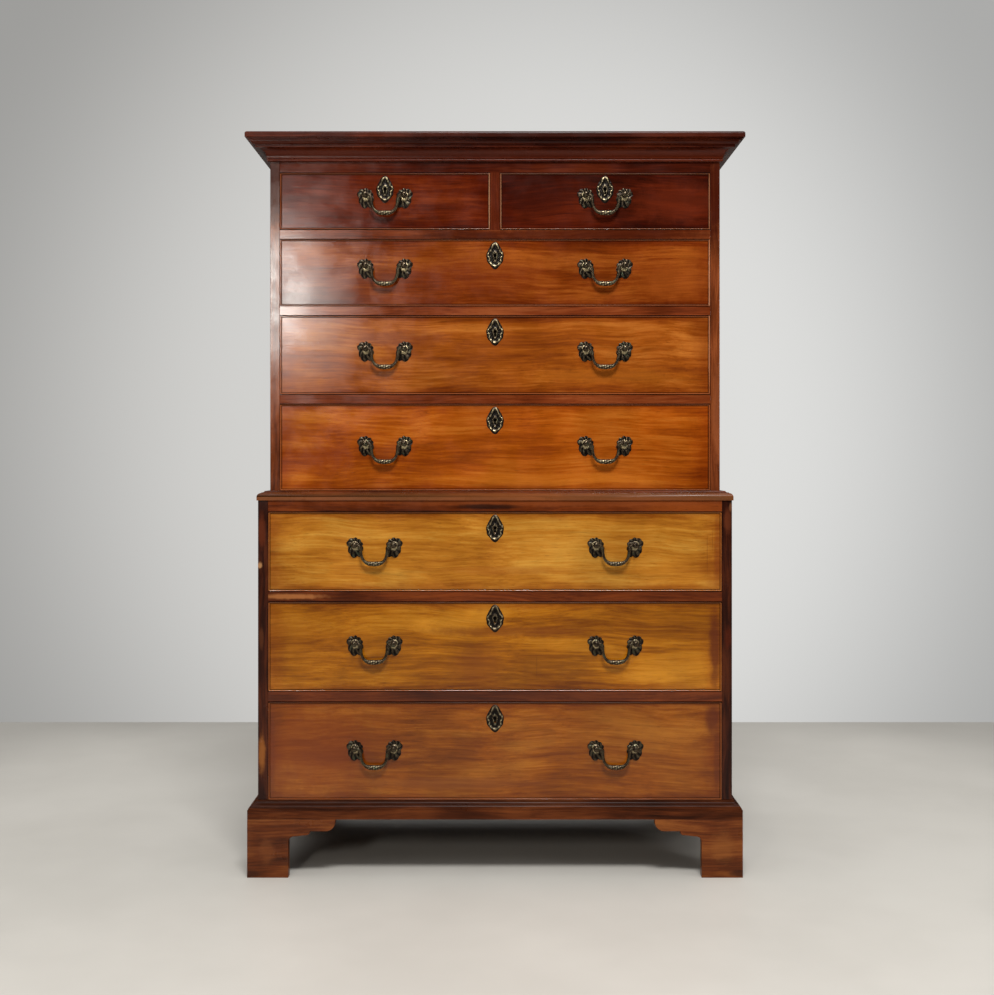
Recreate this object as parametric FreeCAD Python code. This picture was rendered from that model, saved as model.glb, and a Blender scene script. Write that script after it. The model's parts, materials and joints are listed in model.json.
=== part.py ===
import FreeCAD, Part
import math
import os

from FreeCAD import Vector

# A mahogany chest on chest: an upper case of two short and three long drawers that lifts off a
# lower case of three long drawers on ogee bracket feet. Sizes are in millimetres, +Z is up, the
# front faces -Y, and the origin is on the floor under the middle of the whole outline.

# ---------------------------------------------------------------- cases
lower_width = 1090.0
lower_depth = 540.0
set_in = 24.0             # how far the upper case stands inside the lower one, front and sides
lower_side = 23.0         # thickness of the case sides
upper_side = 22.0
case_gap = 0.3            # the upper case rests on the lower one across this gap

housing = 7.0             # depth of the grooves in the sides that hold boards and rails
rail_depth = 70.0         # front to back
tenon_set_back = 12.0     # the rails' ends enter the sides this far behind the front edge
dustboard = 12.0
back_board = 10.0
back_rebate = 10.0        # width of the step in the sides that holds the back
back_planks = 5
plank_gap = 0.4

lower_bottom = 20.0       # thickness of the board
lower_top = 18.0
lower_rail = 23.5
lower_top_rail = 25.5
upper_bottom = 21.2
upper_top = 18.0
upper_rail = 21.0
frieze = 24.5             # the strip of rail that shows under the cornice
frieze_depth = 24.0
case_top_over_frieze = 45.5
divider = 22.0            # the upright between the two short drawers
divider_tenon = 5.0

# Drawer rows from the top down: name, height of the opening, height of the posts over its middle
upper_rows = [
    ("top", 132.5, 13.0),
    ("upper_drawer_2", 156.0, 15.0),
    ("upper_drawer_3", 184.0, 14.0),
    ("upper_drawer_4", 202.0, 9.0),
]
lower_rows = [
    ("lower_drawer_1", 183.5, 15.0),
    ("lower_drawer_2", 206.5, 8.0),
    ("lower_drawer_3", 226.0, 7.0),
]

# ---------------------------------------------------------------- mouldings and feet
foot_height = 133.0
base_out = 21.0           # the base stands this far beyond the lower case
base_height = 39.5
base_fascia = 20.5        # height of its flat part
base_step = 2.2           # the fillets between the fascia and the ogee
base_toe = 4.0            # the ogee ends this far out from the case
base_lip = 1.0            # and this far under the moulding's top
cornice_out = 50.0
cornice_height = 60.5
cornice_edge = 6.0        # the round of its top edge
# The members of the cornice from the bottom up: how far out and how high each one goes
cornice_bead = (3.0, 7.0)
cornice_fillet = (7.0, 10.0)
cornice_cove = (27.0, 28.0)
cornice_band = (30.0, 34.0)
cornice_ovolo = (38.0, 41.0)
cornice_steps = [(7.0, 44.0), (4.0, 47.0)]    # square steps, so far in from the front
waist_lip = 3.0           # the waist moulding's lip beyond the lower case
waist_height = 21.5
waist_face = 8.0          # the flat of the lip
waist_step = 9.0          # the ovolo over it
waist_toe = 7.0           # the cove that meets the upper case
waist_fillet = 1.0        # between the ovolo and the cove
waist_gap = 0.5           # between the waist moulding and the upper case

foot_board = 20.0
foot_leg = 94.0           # width of a foot at the floor
foot_reach = 201.0        # length of a bracket
foot_knee = 13.0          # the round in the angle between a foot's leg and its arm
arm_at_leg = 39.0         # height of a bracket's arm beside the leg
arm_at_end = 27.0         # and towards its end
arm_slope = 3.0           # the thicker stretch of the arm rises by this much
arm_step = 49.0           # the arm thins this far from the leg, over a small ogee
arm_nose = 21.0           # the round at the end of the arm
brace_leg = 60.0
brace_reach = 150.0
brace_arm = 22.0
block = 38.0              # glue blocks behind the feet
block_lift = 3.0          # the blocks stop this far above the floor
packing_width = 45.0

# ---------------------------------------------------------------- drawers
lower_drawer_length = 515.0
upper_drawer_length = 491.0
side_gap = 0.8
top_gap = 1.0
bottom_gap = 0.3
front_board = 20.0
drawer_side = 9.0
drawer_back = 9.0
drawer_bottom = 7.0
bottom_lift = 8.0         # the drawer bottom is this far above the lower edge of its sides
bottom_groove = 5.0
side_drop = 2.0           # the drawer sides are this much lower than the front
back_drop = 4.0
runner_width = 12.0
front_tail_pitch = 72.0
back_tail_pitch = 105.0
tail_share = 0.6          # the tail's width as a share of its pitch
tail_slope = 1.0 / 6.0

bead = 3.0                # cockbead round each drawer front
bead_depth = 8.0
bead_out = 2.0
bead_nose = 0.9

stop_height = 5.0
stop_width = 40.0
stop_depth = 15.0
stop_gap = 0.3
stop_place = 90.0         # from the side of the opening to the middle of a stop
guide_width = 20.0
guide_height = 25.0

# ---------------------------------------------------------------- locks and brassware
lock_width = 60.0
lock_height = 48.0
lock_depth = 10.0
bolt_width = 16.0
bolt_depth = 4.0
bolt_height = 30.0
bolt_play = 0.3
bolt_throw = 8.0
bolt_sink = 0.5           # the resting bolt lies this far under the drawer front's top edge
mortise_play = 1.0
mortise_end = 2.0         # the mortise is this much deeper than the bolt goes
keyhole_drop = 38.0       # from the top of the opening
keyhole_eye = 3.6
keyhole_slot = 3.2
keyhole_length = 12.0
escutcheon_width = 39.0
escutcheon_height = 62.0
escutcheon_depth = 2.5
# Half of its outline from top to bottom, in shares of half its width and height
escutcheon_shape = [
    (0.0, 1.0), (0.26, 0.68), (0.62, 0.61), (0.92, 0.48), (1.0, 0.26), (0.72, -0.06), (0.82, -0.39),
    (0.41, -0.58), (0.0, -1.0),
]

upper_handle_x = 255.0    # from the middle of the case to the middle of a handle
lower_handle_x = 277.0
handle_width = 90.0       # between its two posts
pivot_out = 14.0          # the bail's axis, in front of the drawer front
plate_inwards = 21.0      # a backplate's reach from its post, towards the middle of the handle
plate_outwards = 14.0
plate_up = 16.0
plate_down = 32.0
plate_depth = 2.0
shank = 5.0               # square shank of a post
shank_play = 0.3
neck_radius = 4.2
neck_out = 8.0
head_radius = 6.2
head_out = 20.0
shank_end = 7.0           # the shank stands this far out behind the drawer front, for a nut

pintle_radius = 1.9
pintle_play = 0.12
pintle_length = 7.0
shoulder_gap = 0.3        # between the bail's shoulder and the post's head
bail_sides = 6            # the castings are facetted
head_sides = 6
keyhole_sides = 6

# Half of a bail's centre line, from its shoulder to the swelling of its bar: inwards, and down
bail_line = [(0.0, 0.0), (7.5, 5.0), (10.0, 24.0), (20.0, 40.0)]
bail_radius = 2.9
bar_drop = 42.6
bar_radius = 4.7          # the swelling in the middle of the bar
swelling = 6.0            # half the length over which it is at its thickest

# ---------------------------------------------------------------- places that follow from the sizes
upper_width = lower_width - 2 * set_in
back = (lower_depth + max(cornice_out - set_in, base_out)) / 2
inner_back = back - back_board
lower_front = back - lower_depth
upper_front = lower_front + set_in
lower_half = lower_width / 2
upper_half = upper_width / 2
lower_open = lower_half - lower_side
upper_open = upper_half - upper_side


def row_levels(rows, floor, rail):
    """The bottom and top of each opening, by name, worked out from the floor of the case up."""
    levels, here = {}, floor
    for name, height, _ in reversed(rows):
        levels[name] = (here, here + height)
        here += height + rail
    return levels


lower_floor = foot_height + base_height
case_foot = lower_floor - lower_bottom
lower_levels = row_levels(lower_rows, lower_floor, lower_rail)
lower_top_z = lower_levels[lower_rows[0][0]][1] + lower_top_rail
upper_foot = lower_top_z + case_gap
upper_floor = upper_foot + upper_bottom
upper_levels = row_levels(upper_rows, upper_floor, upper_rail)
frieze_z = upper_levels[upper_rows[0][0]][1]
cornice_z = frieze_z + frieze
upper_top_z = cornice_z + case_top_over_frieze


# ---------------------------------------------------------------- helpers
def box(x0, x1, y0, y1, z0, z1):
    return Part.makeBox(x1 - x0, y1 - y0, z1 - z0, Vector(x0, y0, z0))


def mirrored(shape):
    return shape.mirror(Vector(0, 0, 0), Vector(1, 0, 0))


def both(shape):
    """A piece and its mirror image on the other side of the chest."""
    return [shape, mirrored(shape)]


def outline(points, place):
    """A face from its corners: (u, v) ends a line, (u_mid, v_mid, u, v) ends an arc."""
    edges, here = [], points[0]
    closing = [] if points[-1][-2:] == here else [here]
    for step in points[1:] + closing:
        end = step[-2:]
        if len(step) == 4:
            edges.append(Part.Arc(place(*here), place(*step[:2]), place(*end)).toShape())
        else:
            edges.append(Part.makeLine(place(*here), place(*end)))
        here = end
    return Part.Face(Part.Wire(edges))


def rounded(start, corner, end):
    """The step of an outline that goes from start to end on an arc inside a corner."""
    share = 1 - math.sqrt(0.5)
    middle = [c + share * (a + b - 2 * c) for a, c, b in zip(start, corner, end)]
    return (*middle, *end)


def with_mirror(half):
    """Close half an outline, from its top point to its bottom one, with its mirror image."""
    other = []
    for before, step in reversed(list(zip(half, half[1:]))):
        u, v = before[-2:]
        arc_middle = (-step[0], step[1]) if len(step) == 4 else ()
        other.append(arc_middle + (-u, v))
    return half + other


def plan_prism(corners, z0, z1):
    return outline(corners, lambda x, y: Vector(x, y, z0)).extrude(Vector(0, 0, z1 - z0))


def corners_of(sides, radius, place):
    """The corners of a regular polygon with two flats square to the first direction of place."""
    turn = math.pi / sides
    angles = [turn + 2 * turn * i for i in range(sides)]
    return [place(radius * math.cos(a), radius * math.sin(a)) for a in angles]


def polygon(sides, radius, place):
    corners = corners_of(sides, radius, place)
    return Part.Face(Part.makePolygon(corners + corners[:1]))


def skin(rings):
    """A facetted solid through a row of rings with as many corners each."""
    faces = [Part.Face(Part.makePolygon(ring + ring[:1])) for ring in (rings[0], rings[-1])]
    for ring, after in zip(rings, rings[1:]):
        for k in range(len(ring)):
            a, b, c, d = ring[k - 1], ring[k], after[k], after[k - 1]
            faces.append(Part.Face(Part.makePolygon([a, b, c, a])))
            faces.append(Part.Face(Part.makePolygon([a, c, d, a])))
    shell = Part.Shell(faces)
    shell.sewShape()
    return Part.Solid(shell)


def save(node, shapes):
    solids = [solid for shape in shapes for solid in shape.Solids]
    Part.makeCompound(solids).exportStep("parts/" + node + ".step")


# ---------------------------------------------------------------- mouldings, mitred at the corners
def front_wedge(half, front, reach, z0, z1):
    """The space in front of a case, between its two mitre planes."""
    corners = [(-half, front), (-half - reach, front - reach), (half + reach, front - reach), (half, front)]
    return plan_prism(corners, z0, z1)


def side_wedge(half, front, reach, z0, z1):
    """The space beside a case, behind its right mitre plane."""
    corners = [(half, front), (half + reach, front - reach), (half + reach, back), (half, back)]
    return plan_prism(corners, z0, z1)


def moulding(profile, half, front, z0, height):
    """Three lengths of a moulding whose profile is (distance out from the case, height)."""
    reach = 2 * max(step[-2] for step in profile)
    end = half + reach
    across = outline(profile, lambda out, z: Vector(-end, front - out, z0 + z)).extrude(Vector(2 * end, 0, 0))
    along = outline(profile, lambda out, z: Vector(half + out, front - reach, z0 + z))
    along = along.extrude(Vector(0, back - front + reach, 0))
    front_length = across.common(front_wedge(half, front, reach, z0, z0 + height))
    side_length = along.common(side_wedge(half, front, reach, z0, z0 + height))
    return [front_length] + both(side_length)


def cornice_profile():
    """Bead, cavetto, fillet, ovolo and two square steps under a rounded top edge."""
    tip, top, edge = cornice_out, cornice_height, cornice_edge
    foot, bead_top = cornice_bead
    neck, fillet_top = cornice_fillet
    cove, cove_top = cornice_cove
    band, band_top = cornice_band
    ovolo, here = cornice_ovolo
    swell = bead_top / 2
    profile = [
        (0, 0), (foot, 0), (foot + swell, swell, foot, bead_top), (neck, bead_top), (neck, fillet_top),
        rounded((neck, fillet_top), (neck, cove_top), (cove, cove_top)), (band, cove_top), (band, band_top),
        rounded((band, band_top), (ovolo, band_top), (ovolo, here)),
    ]
    for inset, height in cornice_steps:
        profile += [(tip - inset, here), (tip - inset, height)]
        here = height
    edge_start = (tip, top - edge)
    return profile + [(tip, here), edge_start, rounded(edge_start, (tip, top), (tip - edge, top)), (0, top)]


def waist_profile():
    """A square lip and an ovolo; out is measured from the upper case."""
    tip, top, step, toe = set_in + waist_lip, waist_height, waist_step, waist_toe
    ledge = top - toe / 2
    shelf = ledge - waist_fillet
    return [
        (waist_gap, 0), (tip, 0), (tip, waist_face),
        rounded((tip, waist_face), (tip, shelf), (tip - step, shelf)),
        (tip - step, ledge), rounded((tip - step, ledge), (tip - step - toe, ledge), (tip - step - toe, top)),
        (waist_gap, top),
    ]


def base_profile():
    """A flat fascia, a fillet and an ogee that runs in to the lower case."""
    tip, top, fascia, step = base_out, base_height, base_fascia, base_step
    foot, ogee = (tip - 2 * step, fascia + 2 * step), (base_out - 2 * step - base_toe) / 2
    end = top - base_lip
    bend = (foot[0] - ogee, (foot[1] + end) / 2)
    return [
        (0, 0), (tip, 0), (tip, fascia), (tip - step, fascia), (tip - step, foot[1]), foot,
        rounded(foot, (foot[0], bend[1]), bend), rounded(bend, (base_toe, bend[1]), (base_toe, end)),
        (base_toe, top), (0, top),
    ]


# ---------------------------------------------------------------- feet
def bracket_profile():
    """A foot and its bracket, as (distance from the outer corner, height)."""
    leg, end, top = foot_leg, foot_reach, foot_height
    low, high, step = top - arm_at_leg, top - arm_at_end, leg + arm_step
    rise = arm_slope
    nose = (end - arm_nose, high), (end, high), (end, top - arm_nose / 4)
    return [
        (0, 0), (leg, 0), (leg, low - foot_knee),
        rounded((leg, low - foot_knee), (leg, low), (leg + foot_knee, low)),
        (step - 2 * rise, low + rise), (step - rise / 3, (low + high) / 2), (step, high),
        nose[0], rounded(*nose), (end, top), (0, top),
    ]


def front_feet():
    """Each front foot is two boards that meet at a mitre."""
    right, front = lower_half + base_out, lower_front - base_out
    across = outline(bracket_profile(), lambda u, z: Vector(right - u, front, z))
    across = across.extrude(Vector(0, foot_board, 0))
    along = outline(bracket_profile(), lambda u, z: Vector(right, front + u, z))
    along = along.extrude(Vector(-foot_board, 0, 0))
    reach = 2 * base_out
    across = across.common(front_wedge(lower_half, lower_front, reach, 0, foot_height))
    along = along.common(side_wedge(lower_half, lower_front, reach, 0, foot_height))
    return both(across) + both(along)


def rear_feet():
    """A side bracket at each rear corner, with a plain cut brace across the back."""
    right = lower_half + base_out
    side = outline(bracket_profile(), lambda u, z: Vector(right, back - u, z))
    side = side.extrude(Vector(-foot_board, 0, 0))
    shape = [
        (0, 0), (brace_leg, 0), (brace_leg, foot_height / 2), (brace_reach, foot_height - brace_arm),
        (brace_reach, foot_height), (0, foot_height),
    ]
    brace = outline(shape, lambda u, z: Vector(right - foot_board - u, back - foot_board, z))
    return both(side) + both(brace.extrude(Vector(0, foot_board, 0)))


def foot_blocks():
    """Glue blocks in the corners of the feet, and packing strips that carry the lower case."""
    inside = lower_half + base_out - foot_board
    front, rear = lower_front - base_out + foot_board, back - foot_board
    front_block = box(inside - block, inside, front, front + block, block_lift, foot_height)
    rear_block = box(inside - block, inside, rear - block, rear, block_lift, foot_height)
    front_strip = box(-lower_half, lower_half, lower_front, lower_front + packing_width, foot_height, case_foot)
    rear_strip = box(-lower_half, lower_half, back - packing_width, back, foot_height, case_foot)
    side_strip = box(lower_half - packing_width, lower_half, lower_front + packing_width,
                     back - packing_width, foot_height, case_foot)
    return both(front_block) + both(rear_block) + [front_strip, rear_strip] + both(side_strip)


# ---------------------------------------------------------------- cases
def rail(open_half, front, z0, z1, depth):
    """A rail between the sides, whose ends enter them behind the front edge."""
    body = box(-open_half, open_half, front, front + depth, z0, z1)
    ends = box(-open_half - housing, open_half + housing, front + tenon_set_back, front + depth, z0, z1)
    return body.fuse(ends).removeSplitter()


def board(open_half, y0, z0, z1):
    """A board across the case that is let into both sides."""
    return box(-open_half - housing, open_half + housing, y0, inner_back, z0, z1)


def sides(half, thickness, front, z0, z1, held):
    """The two sides of a case, grooved for what they hold and stepped for the back."""
    side = box(half - thickness, half, front, back, z0, z1)
    step = box(half - thickness, half - thickness + back_rebate, inner_back, back, z0, z1)
    return both(side.cut([step] + held))


def planks(open_half, z0, z1):
    """The upright boards of a case's back."""
    left, width = -open_half - back_rebate, 2 * (open_half + back_rebate)
    pitch = width / back_planks
    return [
        box(left + i * pitch + plank_gap / 2, left + (i + 1) * pitch - plank_gap / 2, inner_back, back, z0, z1)
        for i in range(back_planks)
    ]


def stops(front, level, x0, x1):
    """Two small blocks behind a drawer front, over which its bottom passes."""
    y0 = front + front_board + stop_gap
    middles = (x0 + stop_place, x1 - stop_place)
    return [
        box(x - stop_width / 2, x + stop_width / 2, y0, y0 + stop_depth, level, level + stop_height)
        for x in middles
    ]


def mortise(x, front, opening_top):
    """The pocket in the rail above a drawer that takes its lock bolt."""
    y = front + front_board - lock_depth / 2
    depth = bolt_throw - top_gap - bolt_sink + mortise_end
    return box(x - bolt_width / 2 - mortise_play, x + bolt_width / 2 + mortise_play,
               y - bolt_depth / 2 - mortise_play, y + bolt_depth / 2 + mortise_play,
               opening_top, opening_top + depth)


# ---------------------------------------------------------------- drawers
def dovetails(x0, x1, root, tip, z0, z1, spacing):
    """A row of tails on the end of a drawer side, widening from root to tip along Y."""
    count = max(2, round((z1 - z0) / spacing))
    pitch = (z1 - z0) / count
    narrow = pitch * tail_share / 2
    wide = narrow + abs(tip - root) * tail_slope
    tails = []
    for i in range(count):
        z = z0 + (i + 0.5) * pitch
        corners = [(root, z - narrow), (tip, z - wide), (tip, z + wide), (root, z + narrow)]
        tails.append(outline(corners, lambda y, z: Vector(x0, y, z)).extrude(Vector(x1 - x0, 0, 0)))
    return tails


def cockbeads(x0, x1, z0, z1, face):
    """Four mitred strips with eased noses round a drawer front."""
    tip, root = face - bead_out, face + bead_depth
    nose = tip + bead_nose
    section = [(0, root), (0, nose), (bead_nose, tip), (bead - bead_nose, tip), (bead, nose), (bead, root)]
    depth = Vector(0, root - tip, 0)

    def strip(place, length, corners):
        face_shape = outline(corners, lambda x, z: Vector(x, tip, z))
        return outline(section, place).extrude(length).common(face_shape.extrude(depth))

    across, up = Vector(x1 - x0, 0, 0), Vector(0, 0, z1 - z0)
    return [
        strip(lambda t, y: Vector(x0, y, z0 + t), across,
              [(x0, z0), (x1, z0), (x1 - bead, z0 + bead), (x0 + bead, z0 + bead)]),
        strip(lambda t, y: Vector(x0, y, z1 - t), across,
              [(x0, z1), (x1, z1), (x1 - bead, z1 - bead), (x0 + bead, z1 - bead)]),
        strip(lambda t, y: Vector(x0 + t, y, z0), up,
              [(x0, z0), (x0 + bead, z0 + bead), (x0 + bead, z1 - bead), (x0, z1)]),
        strip(lambda t, y: Vector(x1 - t, y, z0), up,
              [(x1, z0), (x1 - bead, z0 + bead), (x1 - bead, z1 - bead), (x1, z1)]),
    ]


def keyhole(x, z, y0, y1):
    """A round eye over a slot."""
    eye = polygon(keyhole_sides, keyhole_eye, lambda u, v: Vector(x + u, y0, z + v))
    slot = box(x - keyhole_slot / 2, x + keyhole_slot / 2, y0, y1, z - keyhole_length, z)
    return eye.extrude(Vector(0, y1 - y0, 0)).fuse(slot)


def escutcheon(x, z, face):
    """A cartouche, pointed above and below, pierced by the keyhole."""
    half = [(u * escutcheon_width / 2, v * escutcheon_height / 2) for u, v in escutcheon_shape]
    plate = outline(with_mirror(half), lambda u, v: Vector(x + u, face, z + v))
    plate = plate.extrude(Vector(0, -escutcheon_depth, 0))
    return plate.cut(keyhole(x, z, face - escutcheon_depth, face))


def lock(x, top, front):
    """The lock case in the back of a drawer front, and its bolt."""
    y1 = front + front_board
    y0 = y1 - lock_depth
    y = (y0 + y1) / 2
    case = box(x - lock_width / 2, x + lock_width / 2, y0, y1, top - lock_height, top)
    bolt = box(x - bolt_width / 2, x + bolt_width / 2, y - bolt_depth / 2, y + bolt_depth / 2,
               top - bolt_sink - bolt_height, top - bolt_sink)
    play = bolt_play
    slot = box(x - bolt_width / 2 - play, x + bolt_width / 2 + play, y - bolt_depth / 2 - play,
               y + bolt_depth / 2 + play, top - bolt_sink - bolt_height - play, top)
    return case.cut(slot), bolt


# ---------------------------------------------------------------- handles
def shank_prism(x, z, y0, y1, play=0.0):
    """The square shank of a post, or with play the hole that it passes through."""
    half = shank / 2 + play
    return box(x - half, x + half, y0, y1, z - half, z + half)


def backplate(x, z, face, inward):
    """A leaf-shaped plate behind a post; it reaches further towards the middle of the handle."""
    near, far, up, down = plate_inwards, -plate_outwards, plate_up, -plate_down
    shape = [
        (far * 0.9, up * 0.4), (near * 0.1, up), (near * 0.65, up * 0.5), (near, down * 0.12),
        (near * 0.85, down * 0.5), (near * 0.2, down), (far * 0.85, down * 0.6),
    ]
    plate = outline(shape, lambda u, v: Vector(x + inward * u, face, z + v))
    plate = plate.extrude(Vector(0, -plate_depth, 0))
    return plate.cut(shank_prism(x, z, face - plate_depth, face, shank_play))


def post(x, z, face):
    """A post: a pierced head and a neck in front, and a square shank through the drawer front."""
    seat = face - plate_depth
    neck_end = seat - neck_out
    neck_foot = corners_of(head_sides, neck_radius, lambda u, v: Vector(x + u, seat, z + v))
    neck_top = corners_of(head_sides, head_radius, lambda u, v: Vector(x + u, neck_end, z + v))
    neck = skin([neck_foot, neck_top])
    head = polygon(head_sides, head_radius, lambda u, v: Vector(x + u, neck_end, z + v))
    head = head.extrude(Vector(0, face - head_out - neck_end, 0))
    tail = shank_prism(x, z, seat, face + front_board + shank_end)
    axis_y, half = face - pivot_out, pintle_radius + pintle_play
    hole = box(x - head_radius, x + head_radius, axis_y - half, axis_y + half, z - half, z + half)
    return head.fuse([neck, tail]).removeSplitter().cut(hole)


def bail(x, z, face):
    """A swan-neck bail. Its square pintles are round beneath, where they bear on the posts."""
    axis_y = face - pivot_out
    shoulder = handle_width / 2 - head_radius * math.cos(math.pi / head_sides) - shoulder_gap
    half = [(shoulder - inward, -drop, bail_radius) for inward, drop in bail_line]
    half.append((swelling, -bar_drop, bar_radius))
    line = half + [(-u, v, radius) for u, v, radius in reversed(half)]
    sections = []
    for i, (u, v, radius) in enumerate(line):
        before, after = line[max(i - 1, 0)], line[min(i + 1, len(line) - 1)]
        at_shoulder = i in (0, len(line) - 1)
        turn = math.pi if at_shoulder else math.atan2(after[1] - before[1], after[0] - before[0])
        across = Vector(-math.sin(turn), 0, math.cos(turn))
        middle = Vector(x + u, axis_y, z + v)

        def on_section(s, t):
            return middle + across * t + Vector(0, s, 0)

        sections.append(corners_of(bail_sides, radius, on_section))
    wire = skin(sections)
    corners = corners_of(4, pintle_radius, lambda s, t: (s, t))
    section = corners[:3] + [(0, -pintle_radius, *corners[3])]
    pintle = outline(section, lambda s, t: Vector(x + shoulder, axis_y + s, z + t))
    pintle = pintle.extrude(Vector(shoulder_gap + pintle_length, 0, 0))
    other = pintle.mirror(Vector(x, 0, 0), Vector(1, 0, 0))
    return wire.fuse([pintle, other])


def drawer(name, x0, x1, level, front, length, handles, post_rise):
    """Write the nodes of one drawer, between the sides x0 and x1 of its opening."""
    low, high = level
    x, middle = (x0 + x1) / 2, (low + high) / 2
    x0, x1 = x0 + side_gap, x1 - side_gap
    z0, z1 = low + bottom_gap, high - top_gap
    post_z, lock_z = middle + post_rise, high - keyhole_drop
    inner, end = front + front_board, front + length
    side_top = z1 - side_drop
    bottom_z = z0 + bottom_lift + drawer_bottom

    bottom = box(x0 + drawer_side - bottom_groove, x1 - drawer_side + bottom_groove,
                 inner - bottom_groove, end, z0 + bottom_lift, bottom_z)
    drawer_sides = []
    for x_side in ((x0, x0 + drawer_side), (x1 - drawer_side, x1)):
        side = box(*x_side, inner, end - drawer_back, z0, side_top)
        side = side.fuse(dovetails(*x_side, inner, front + bead_depth, z0, side_top, front_tail_pitch))
        side = side.fuse(dovetails(*x_side, end - drawer_back, end, z0, side_top, back_tail_pitch))
        drawer_sides.append(side.removeSplitter().cut(bottom))
    rear = box(x0, x1, end - drawer_back, end, bottom_z, side_top - back_drop).cut(drawer_sides)
    runners = [
        box(inside, inside + runner_width, inner, end - drawer_back, z0, z0 + bottom_lift)
        for inside in (x0 + drawer_side, x1 - drawer_side - runner_width)
    ]

    panel = box(x0 + bead, x1 - bead, front, inner, z0 + bead, z1 - bead)
    panel = panel.fuse(box(x0, x1, front + bead_depth, inner, z0, z1)).removeSplitter()
    case, bolt = lock(x, z1, front)
    lock_pocket = box(x - lock_width / 2, x + lock_width / 2, inner - lock_depth, inner, z1 - lock_height, z1)
    posts = [(handle + side * handle_width / 2, -side) for handle in handles for side in (-1, 1)]
    holes = [shank_prism(post_x, post_z, front, inner, shank_play) for post_x, _ in posts]
    pierced = holes + [lock_pocket, keyhole(x, lock_z, front, inner - lock_depth)]
    panel = panel.cut(drawer_sides + [bottom] + pierced)

    fittings = [case, escutcheon(x, lock_z, front)]
    for post_x, inward in posts:
        fittings.append(backplate(post_x, post_z, front, inward))
        fittings.append(post(post_x, post_z, front))

    save(name + "_front", [panel] + cockbeads(x0, x1, z0, z1, front))
    save(name + "_box", drawer_sides + [rear, bottom] + runners)
    save(name + "_fittings", fittings)
    save(name + "_lock_bolt", [bolt])
    bail_names = ["_bail"] if len(handles) == 1 else ["_left_bail", "_right_bail"]
    for bail_name, handle in zip(bail_names, handles):
        save(name + bail_name, [bail(handle, post_z, front)])


# ---------------------------------------------------------------- the lower case
def lower_chest():
    rows = [name for name, _, _ in lower_rows]
    open_half = lower_open
    rail_back = lower_front + rail_depth
    top_level = lower_levels[rows[0]][1]
    rails = [rail(open_half, lower_front, top_level, lower_top_z, rail_depth)]
    boards = [
        board(open_half, lower_front, case_foot, lower_floor),
        board(open_half, rail_back, lower_top_z - lower_top, lower_top_z),
    ]
    for name in rows[1:]:
        level = lower_levels[name][1]
        rails.append(rail(open_half, lower_front, level, level + lower_rail, rail_depth))
        boards.append(board(open_half, rail_back, level + lower_rail - dustboard, level + lower_rail))
    save("lower_sides", sides(lower_half, lower_side, lower_front, case_foot, lower_top_z, rails + boards))
    pockets = [mortise(0.0, lower_front, lower_levels[name][1]) for name in rows]
    save("lower_rails", [shape.cut(pocket) for shape, pocket in zip(rails, pockets)])
    stop_pieces = []
    for name in rows:
        stop_pieces += stops(lower_front, lower_levels[name][0], -open_half, open_half)
    save("lower_boards", boards + stop_pieces)
    save("lower_back", planks(open_half, case_foot, lower_top_z))
    save("waist_moulding", moulding(waist_profile(), upper_half, upper_front, lower_top_z, waist_height))
    save("base_moulding", moulding(base_profile(), lower_half, lower_front, foot_height, base_height))
    save("front_bracket_feet", front_feet())
    save("rear_bracket_feet", rear_feet())
    save("foot_blocks", foot_blocks())
    for name, _, post_rise in lower_rows:
        drawer(name, -open_half, open_half, lower_levels[name], lower_front, lower_drawer_length,
               [-lower_handle_x, lower_handle_x], post_rise)


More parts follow.
